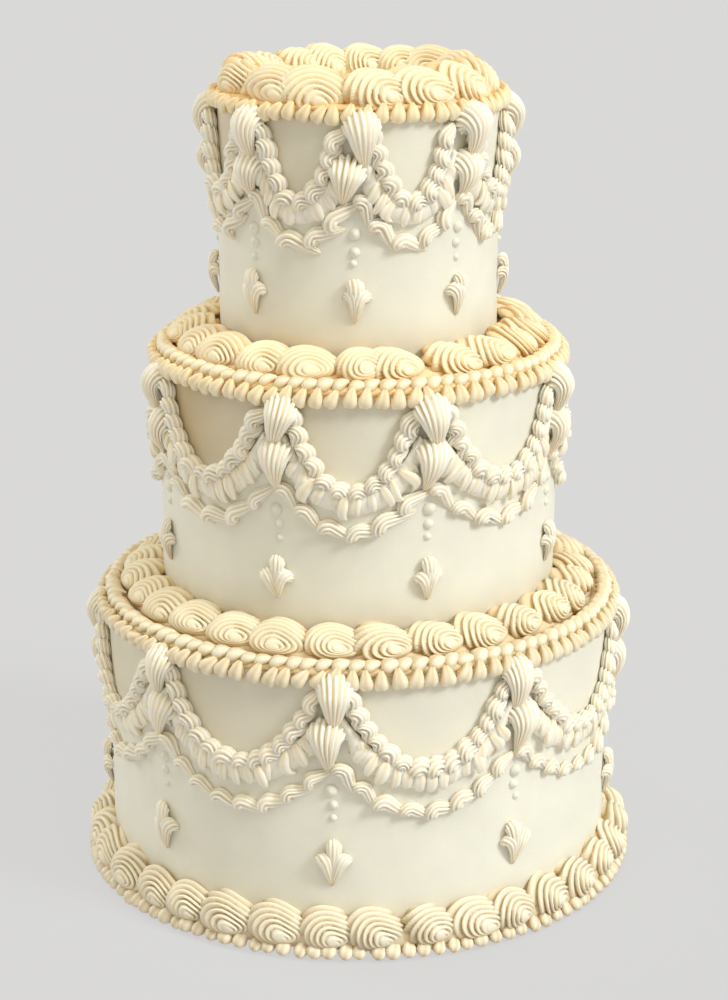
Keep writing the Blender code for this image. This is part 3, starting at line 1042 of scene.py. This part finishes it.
@dataclass(frozen=True)
class Border:
    """A ring of large swirled shells round a foot or on the top.

    Args:
        node: The CAD node that it replaces.
        shells: How many shells.
        phase: Angle where one shell's head starts.
        radius: Distance of the shells' origins from the axis.
        height: Height of the origins.
        tilt: How far the shells face upwards, in degrees.
        half_height: Half the shells' height along the slope.
        depth: How far they stand out of the slope.
        overlap: Half length as a share of the pitch.
        finish: Their finish.
        slot: The record's slot.
        seed: Seed of their unevenness.
        back: Depth behind the slope as a share of the depth in front.
        lift: Height of the shells' lowest point above the node's.
        uneven: How uneven the shells are, where 1 is a steady hand.
        bed: The ring of icing under the shells, or none.
        inward: Whether the shells behind the axis face inwards.
        slant: How far the tails sink, in degrees.
        bunch: How far, in degrees, the shells are pushed together at the back.
        inward_tilt: The tilt of the shells that face inwards.
    """

    node: str
    shells: int
    phase: float
    radius: float
    height: float
    tilt: float
    half_height: float
    depth: float
    overlap: float
    finish: Finish
    slot: Slot
    seed: int
    back: float = 0.35
    lift: float = 0.0002
    uneven: float = 1.0
    bed: Bed | None = None
    inward: bool = False
    slant: float = 12.0
    bunch: float = 0.0
    inward_tilt: float = 138.0

    def build(self) -> None:
        """Builds the ring, each shell a little different in place, size and lean.

        The ring is then stretched upright to the height of the node that it replaces.
        """
        rng = np.random.default_rng(self.seed)
        n, loose = self.shells, self.uneven
        pitch = 360.0 / n
        angle = self.phase + pitch * (np.arange(n) + 0.5 + loose * rng.normal(0, 0.06, n))
        wide = 1 + math.radians(self.bunch) * np.cos(np.radians(angle))
        angle = angle + self.bunch * np.sin(np.radians(angle))
        behind = self.inward & (np.cos(np.radians(angle)) < -0.1)
        frames = ring_frames(angle, self.radius - 0.002 * behind, self.height + 0.001 * behind,
                             np.where(behind, self.inward_tilt, self.tilt) + loose * rng.normal(0, 3, n),
                             np.where(behind, 180.0, -self.slant) + loose * rng.normal(0, 4, n))
        length = wide * self.overlap * 2 * np.pi * (self.radius + 0.6 * self.depth) / n
        sizes = [size * (1 + loose * rng.uniform(-0.06, most, n)) for size, most in (
            (length, 0.08), (self.half_height * wide ** 0.5, 0.04), (self.depth, 0.06))]
        shell = SwirlShell(back=self.back, rows_behind=18 if self.inward else 6)
        points, crease = shell.surfaces(frames, sizes, rng)
        low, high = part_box(self.node)[0].z + self.lift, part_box(self.node)[1].z
        level = points[..., 2]
        least = level[~behind].min()
        share = np.clip((level - least) / (level.max() - least), 0, 1)
        points[..., 2] = low + (high - low) * share
        # Painted shade, darker towards the shells' lowest part.
        crease = np.clip(crease + 0.4 * np.clip(1 - share / 0.25, 0, 1), 0, 1)
        piece = Piece("shells_" + self.node, self.finish, self.slot, (self.node,))
        piece.add_tubes(points, crease)
        if self.bed:
            piece.add_tubes(*self.bed.surface())
        piece.build()


BORDERS = (
    Border("border_base", 35, -1.7, 0.1334, 0.0130, 33.0, 0.0132, 0.0112, 0.630, BASE_IVORY, Slot.PIPING, 11,
           lift=0.0028, uneven=1.4, bed=Bed(0.1350, 0.0080, 0.0055, 0.0060), slant=14.0),
    Border("border_middle", 29, -0.3, 0.1108, 0.1465, 54.0, 0.0146, 0.0116, 0.630, BUTTER, Slot.WARM, 12,
           uneven=1.4, bed=Bed(0.1110, 0.1475, 0.0105, 0.0042)),
    Border("border_top", 22, -8.9, 0.0826, 0.2765, 54.0, 0.0156, 0.0118, 0.62, CREAM, Slot.WARM, 13,
           uneven=1.4, bed=Bed(0.0815, 0.2765, 0.0115, 0.0044)),
    Border("crown", 15, -6.0, 0.0568, 0.4050, 40.0, 0.0152, 0.0124, 0.66, CREAM, Slot.WARM, 14, back=0.9,
           lift=-0.0062, uneven=2.0, bed=Bed(0.0545, 0.4045, 0.0105, 0.0050), inward=True, bunch=9.0),
)


@dataclass(frozen=True)
class BaseBeads:
    """The row of small beads on the ground in front of the base shells.

    Args:
        beads: How many beads.
        radius: Distance of their tips from the axis.
        half: Their half width.
        lean: How far they lean, in degrees.
        finish: Their finish.
    """

    beads: int = 116
    radius: float = 0.1393
    half: float = 0.0044
    lean: float = -16.0
    finish: Finish = BASE_IVORY

    def build(self) -> None:
        """Builds the row: bulbs whose heads point out and down."""
        rng = np.random.default_rng(21)
        n = self.beads
        angle = 360.0 / n * np.arange(n) + rng.normal(0, 0.12, n)
        frames = ring_frames(angle, self.radius, 0.0, 0, self.lean + rng.normal(0, 9, n))
        half = self.half * rng.uniform(0.85, 1.1, n)
        points, crease = BASE_BEAD.surfaces(frames, BASE_BEAD_LINE, half, rng)
        points[..., 2] = np.maximum(points[..., 2], 0.0002)
        piece = Piece("base_beads", self.finish, Slot.PIPING, ("border_base_beads",))
        piece.add_tubes(points, crease)
        piece.build()


@dataclass(frozen=True)
class Studio:
    """Floor, lights and camera.

    Args:
        focal_px: Focal length in pixels of the 728 by 1000 frame.
        pitch: Degrees that the camera looks down.
        distance: Distance of the camera in front of the axis.
        eye: Height of the camera.
        axis_px: Pixel column of the cake's axis.
        width_px: Width of the frame.
        height_px: Height of the frame.
        sensor: Height of the camera's sensor, in mm.
        floor_half: Half the floor's side.
        floor_grey: Strength of the floor's own light.
        surround: Colour of the light from all round, linear.
        surround_strength: Its strength.
    """

    focal_px: float = 2314.0
    pitch: float = 17.44
    distance: float = 1.147
    eye: float = 0.550
    axis_px: float = 358.5
    width_px: int = 728
    height_px: int = 1000
    sensor: float = 36.0
    floor_half: float = 30.0
    floor_grey: float = 0.575
    surround: Color = (0.83, 0.73, 0.52)
    surround_strength: float = 0.57

    def build(self) -> None:
        """Builds all of the studio."""
        self.camera()
        self.floor()
        self.lights()

    def camera(self) -> None:
        """A camera at the photograph's place, looking along +Y and down."""
        data = bpy.data.cameras.new("camera")
        data.sensor_fit = "VERTICAL"
        data.sensor_height = self.sensor
        data.lens = self.focal_px * self.sensor / self.height_px
        data.shift_x = (self.width_px / 2 - self.axis_px) / self.height_px
        item = add_object("camera", data)
        item.location = (0.0, -self.distance, self.eye)
        item.rotation_euler = (math.radians(90.0 - self.pitch), 0.0, 0.0)
        bpy.context.scene.camera = item

    def floor(self) -> None:
        """A wide plain floor, mostly of its own even grey so that it meets the backdrop unseen."""
        mesh = bpy.data.meshes.new("floor")
        half = self.floor_half
        corners = [(-half, -half, 0), (half, -half, 0), (half, half, 0), (-half, half, 0)]
        mesh.from_pydata(corners, [], [(0, 1, 2, 3)])
        material = bpy.data.materials.new("floor")
        material.use_nodes = True
        feed(material.node_tree.nodes["Principled BSDF"], {
            "Base Color": (0.10, 0.10, 0.10, 1.0), "Roughness": 1.0, "Specular IOR Level": 0.0,
            "Emission Color": (1.0, 1.0, 1.0, 1.0), "Emission Strength": self.floor_grey})
        mesh.materials.append(material)
        item = add_object("floor", mesh)
        item.location.z = -0.0005

    def lights(self) -> None:
        """A broad cool key from the right, a weak rim light from behind left and a warm surround."""
        scene = bpy.context.scene
        scene.view_settings.view_transform = "Standard"
        scene.view_settings.look = "None"
        world = bpy.data.worlds.new("studio")
        world.use_nodes = True
        feed(world.node_tree.nodes["Background"], {
            "Color": (*self.surround, 1.0), "Strength": self.surround_strength})
        scene.world = world
        for name, azimuth, elevation, strength, spread, color in (
                ("key", 62.0, 38.0, 2.00, 18.0, (0.97, 1.0, 0.99)),
                ("fill", -45.0, 28.0, 0.17, 50.0, (1.0, 0.95, 0.82)),
                ("top", 10.0, 72.0, 0.9, 40.0, (1.0, 0.98, 0.92)),
                ("rim", -118.0, 20.0, 0.9, 25.0, (0.92, 0.97, 1.0))):
            data = bpy.data.lights.new(name, "SUN")
            data.energy = strength
            data.angle = math.radians(spread)
            data.color = color
            turn = (math.radians(90.0 - elevation), 0.0, math.radians(azimuth))
            add_object(name, data).rotation_euler = turn


def main() -> None:
    """Builds the studio and every piece of the cake, in order."""
    logging.basicConfig(level=logging.INFO, format="%(name)s: %(message)s")
    Studio().build()
    for seed, tier in enumerate(TIERS, start=1):
        TierDresser(tier, seed).build()
    for border in BORDERS:
        border.build()
    BaseBeads().build()


if __name__ == "__main__":
    main()
